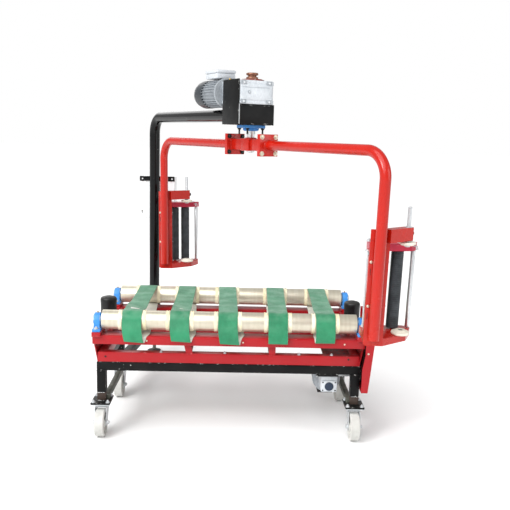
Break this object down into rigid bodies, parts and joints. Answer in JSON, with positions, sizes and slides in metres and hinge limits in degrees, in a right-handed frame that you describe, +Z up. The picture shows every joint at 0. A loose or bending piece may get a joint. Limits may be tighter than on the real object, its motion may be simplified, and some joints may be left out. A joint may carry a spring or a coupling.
{
  "type": "round bale stretch-film wrapping machine",
  "caption": "Wheeled bale wrapping machine: belt-linked rollers turn a bale while an overhead twin arm circles it with stretch-film dispensers.",
  "frame": {"origin": "on the floor, under the middle of the machine's box", "axes": "+Z up; the rollers run along X; +Y points from the open front towards the mast and control box"},
  "size_m": [1.3476, 1.9375, 1.632],
  "materials": {
    "black_paint": "gloss",
    "red_paint": "gloss",
    "orange_paint": "gloss",
    "crimson_paint": "satin",
    "zinc": "satin",
    "passivated_zinc": "satin",
    "belt_green": "matte",
    "bearing_blue": "satin",
    "black_rubber": "satin",
    "chain_steel": "satin",
    "casting": "satin",
    "motor_grey": "satin",
    "motor_cowl": "satin",
    "nylon": "satin",
    "bronze": "satin",
    "cabinet": "satin"
  },
  "bodies": {
    "machine_base": {"base_frame": "black_paint", "table_frame": "red_paint", "belt_1": "belt_green", "belt_2": "belt_green", "belt_3": "belt_green", "belt_4": "belt_green", "belt_5": "belt_green", "roller_bearing_front_left": "bearing_blue", "roller_bearing_front_right": "bearing_blue", "roller_bearing_rear_left": "bearing_blue", "roller_bearing_rear_right": "bearing_blue", "drive_gearbox": "casting", "drive_motor": "motor_grey", "drive_chain": "chain_steel", "chain_guard": "red_paint", "mast": "black_paint", "head_gearbox": "casting", "head_motor": "motor_grey", "head_motor_cowl": "motor_cowl", "head_terminal_box": "casting", "head_flange_bearing": "bearing_blue", "control_box": "cabinet"},
    "wrap_arm": {"arm_shaft": "bronze", "arm_hub": "orange_paint", "arm_tube_right": "orange_paint", "arm_tube_left": "orange_paint", "film_frame_right": "orange_paint", "film_frame_left": "orange_paint", "gear_case_right": "crimson_paint", "gear_case_left": "crimson_paint"},
    "swivel_front_left": {"caster_fork_front_left": "zinc"},
    "wheel_front_left": {"caster_wheel_front_left": "nylon"},
    "swivel_front_right": {"caster_fork_front_right": "zinc"},
    "wheel_front_right": {"caster_wheel_front_right": "nylon"},
    "swivel_rear_left": {"caster_fork_rear_left": "zinc"},
    "wheel_rear_left": {"caster_wheel_rear_left": "nylon"},
    "swivel_rear_right": {"caster_fork_rear_right": "zinc"},
    "wheel_rear_right": {"caster_wheel_rear_right": "nylon"},
    "front_roller": {"front_roller": "passivated_zinc"},
    "rear_roller": {"rear_roller": "passivated_zinc"},
    "drive_sprocket": {"drive_sprocket": "zinc"},
    "cone_left": {"guide_cone_left": "black_rubber"},
    "cone_right": {"guide_cone_right": "black_rubber"},
    "box_door": {"control_box_door": "cabinet"},
    "stretch_a_right": {"stretch_roller_a_right": "black_rubber"},
    "stretch_b_right": {"stretch_roller_b_right": "black_rubber"},
    "idler_right": {"idler_roller_right": "zinc"},
    "core_seat_right": {"lower_disc_right": "nylon"},
    "spindle_right": {"upper_spindle_right": "zinc"},
    "core_cap_right": {"upper_disc_right": "nylon"},
    "knob_right": {"lock_knob_right": "zinc"},
    "stretch_a_left": {"stretch_roller_a_left": "black_rubber"},
    "stretch_b_left": {"stretch_roller_b_left": "black_rubber"},
    "idler_left": {"idler_roller_left": "zinc"},
    "core_seat_left": {"lower_disc_left": "nylon"},
    "spindle_left": {"upper_spindle_left": "zinc"},
    "core_cap_left": {"upper_disc_left": "nylon"},
    "knob_left": {"lock_knob_left": "zinc"}
  },
  "joints": [
    {"name": "swivel_turn_front_left", "type": "hinge", "parent": "machine_base", "child": "swivel_front_left", "pos_m": [-0.622, -0.443, 0.1434], "axis": [0, 0, 1], "continuous": true},
    {"name": "wheel_spin_front_left", "type": "hinge", "parent": "swivel_front_left", "child": "wheel_front_left", "pos_m": [-0.622, -0.481, 0.0625], "axis": [1, 0, 0], "continuous": true},
    {"name": "swivel_turn_front_right", "type": "hinge", "parent": "machine_base", "child": "swivel_front_right", "pos_m": [0.508, -0.443, 0.1434], "axis": [0, 0, 1], "continuous": true},
    {"name": "wheel_spin_front_right", "type": "hinge", "parent": "swivel_front_right", "child": "wheel_front_right", "pos_m": [0.508, -0.481, 0.0625], "axis": [1, 0, 0], "continuous": true},
    {"name": "swivel_turn_rear_left", "type": "hinge", "parent": "machine_base", "child": "swivel_rear_left", "pos_m": [-0.622, 0.047, 0.1434], "axis": [0, 0, 1], "continuous": true},
    {"name": "wheel_spin_rear_left", "type": "hinge", "parent": "swivel_rear_left", "child": "wheel_rear_left", "pos_m": [-0.622, 0.009, 0.0625], "axis": [1, 0, 0], "continuous": true},
    {"name": "swivel_turn_rear_right", "type": "hinge", "parent": "machine_base", "child": "swivel_rear_right", "pos_m": [0.508, 0.047, 0.1434], "axis": [0, 0, 1], "continuous": true},
    {"name": "wheel_spin_rear_right", "type": "hinge", "parent": "swivel_rear_right", "child": "wheel_rear_right", "pos_m": [0.508, 0.009, 0.0625], "axis": [1, 0, 0], "continuous": true},
    {"name": "front_roller_spin", "type": "hinge", "parent": "machine_base", "child": "front_roller", "pos_m": [-0.057, -0.452, 0.5276], "axis": [1, 0, 0], "continuous": true},
    {"name": "rear_roller_spin", "type": "hinge", "parent": "machine_base", "child": "rear_roller", "pos_m": [-0.057, 0.056, 0.5276], "axis": [1, 0, 0], "continuous": true},
    {"name": "drive_sprocket_spin", "type": "hinge", "parent": "machine_base", "child": "drive_sprocket", "pos_m": [0.397, -0.37, 0.268], "axis": [1, 0, 0], "continuous": true},
    {"name": "cone_spin_left", "type": "hinge", "parent": "machine_base", "child": "cone_left", "pos_m": [-0.635, -0.198, 0.52], "axis": [0, 0, 1], "continuous": true},
    {"name": "cone_spin_right", "type": "hinge", "parent": "machine_base", "child": "cone_right", "pos_m": [0.521, -0.198, 0.52], "axis": [0, 0, 1], "continuous": true},
    {"name": "control_box_door_hinge", "type": "hinge", "parent": "machine_base", "child": "box_door", "pos_m": [-0.6325, 0.94685, 0.95], "axis": [0, 0, 1], "range_deg": [0, 150]},
    {"name": "arm_spin", "type": "hinge", "parent": "machine_base", "child": "wrap_arm", "pos_m": [0.018, -0.198, 1.297], "axis": [0, 0, 1], "continuous": true},
    {"name": "stretch_a_spin_right", "type": "hinge", "parent": "wrap_arm", "child": "stretch_a_right", "pos_m": [0.53051, -0.77926, 0.70328], "axis": [0.015, -0.0236, 0.9996], "continuous": true},
    {"name": "stretch_b_spin_right", "type": "hinge", "parent": "wrap_arm", "child": "stretch_b_right", "pos_m": [0.59051, -0.76525, 0.70271], "axis": [0.015, -0.0236, 0.9996], "continuous": true},
    {"name": "idler_spin_right", "type": "hinge", "parent": "wrap_arm", "child": "idler_right", "pos_m": [0.6545, -0.75024, 0.7021], "axis": [0.015, -0.0236, 0.9996], "continuous": true},
    {"name": "core_seat_spin_right", "type": "hinge", "parent": "wrap_arm", "child": "core_seat_right", "pos_m": [0.61098, -0.8513, 1.00049], "axis": [0.015, -0.0236, 0.9996], "continuous": true},
    {"name": "spindle_slide_right", "type": "slide", "parent": "wrap_arm", "child": "spindle_right", "axis": [0.015, -0.0236, 0.9996], "range_m": [-0.07, 0.002]},
    {"name": "core_cap_spin_right", "type": "hinge", "parent": "spindle_right", "child": "core_cap_right", "pos_m": [0.61098, -0.8513, 1.00049], "axis": [0.015, -0.0236, 0.9996], "continuous": true},
    {"name": "knob_turn_right", "type": "hinge", "parent": "wrap_arm", "child": "knob_right", "pos_m": [0.61081, -0.85104, 0.9915], "axis": [0.7934, 0.6087, 0.0025], "continuous": true},
    {"name": "stretch_a_spin_left", "type": "hinge", "parent": "wrap_arm", "child": "stretch_a_left", "pos_m": [-0.40647, 0.69719, 0.69719], "axis": [-0.015, 0.0236, 0.9996], "continuous": true},
    {"name": "stretch_b_spin_left", "type": "hinge", "parent": "wrap_arm", "child": "stretch_b_left", "pos_m": [-0.34647, 0.71119, 0.69776], "axis": [-0.015, 0.0236, 0.9996], "continuous": true},
    {"name": "idler_spin_left", "type": "hinge", "parent": "wrap_arm", "child": "idler_left", "pos_m": [-0.28248, 0.7262, 0.69836], "axis": [-0.015, 0.0236, 0.9996], "continuous": true},
    {"name": "core_seat_spin_left", "type": "hinge", "parent": "wrap_arm", "child": "core_seat_left", "pos_m": [-0.33498, 0.63929, 0.99974], "axis": [-0.015, 0.0236, 0.9996], "continuous": true},
    {"name": "spindle_slide_left", "type": "slide", "parent": "wrap_arm", "child": "spindle_left", "axis": [-0.015, 0.0236, 0.9996], "range_m": [-0.07, 0.002]},
    {"name": "core_cap_spin_left", "type": "hinge", "parent": "spindle_left", "child": "core_cap_left", "pos_m": [-0.33498, 0.63929, 0.99974], "axis": [-0.015, 0.0236, 0.9996], "continuous": true},
    {"name": "knob_turn_left", "type": "hinge", "parent": "wrap_arm", "child": "knob_left", "pos_m": [-0.33488, 0.63913, 0.99074], "axis": [0.7934, 0.6087, -0.0025], "continuous": true}
  ],
  "couplings": [
    {"joint": "rear_roller_spin", "follows": "front_roller_spin", "ratio": 1},
    {"joint": "drive_sprocket_spin", "follows": "front_roller_spin", "ratio": 1.5}
  ]
}
